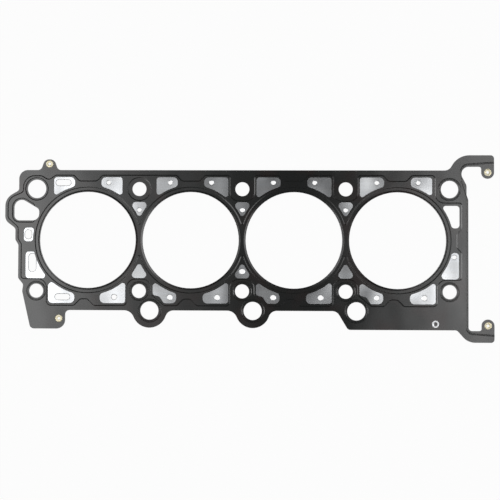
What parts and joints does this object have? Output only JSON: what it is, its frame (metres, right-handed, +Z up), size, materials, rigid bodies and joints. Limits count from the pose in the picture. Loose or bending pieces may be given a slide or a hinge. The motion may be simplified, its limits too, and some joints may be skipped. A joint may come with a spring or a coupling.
{
  "type": "cylinder head gasket",
  "caption": "Multi-layer steel cylinder head gasket for an in-line bank, with embossed dark-coated outer layers, a bright middle layer and eyelets.",
  "frame": {"origin": "on the first cylinder bore's axis, in the plane of the gasket's underside", "axes": "+X along the row of cylinders towards the end with the two arms, +Y across it towards the edge without lobes, +Z up out of the face with the marker hole"},
  "size_m": [0.4737, 0.1807, 0.0014],
  "materials": {
    "upper_coating": "satin black rubber-based coating on spring steel",
    "middle_steel": "bare rolled stainless steel",
    "lower_coating": "satin black rubber-based coating on spring steel",
    "eyelet_metal": "pale bright plating"
  },
  "bodies": {
    "root": {"upper_layer": "upper_coating", "middle_layer": "middle_steel", "lower_layer": "lower_coating", "top_left_eyelet": "eyelet_metal", "top_right_eyelet": "eyelet_metal", "bottom_left_eyelet": "eyelet_metal", "bottom_right_eyelet": "eyelet_metal"}
  },
  "joints": []
}
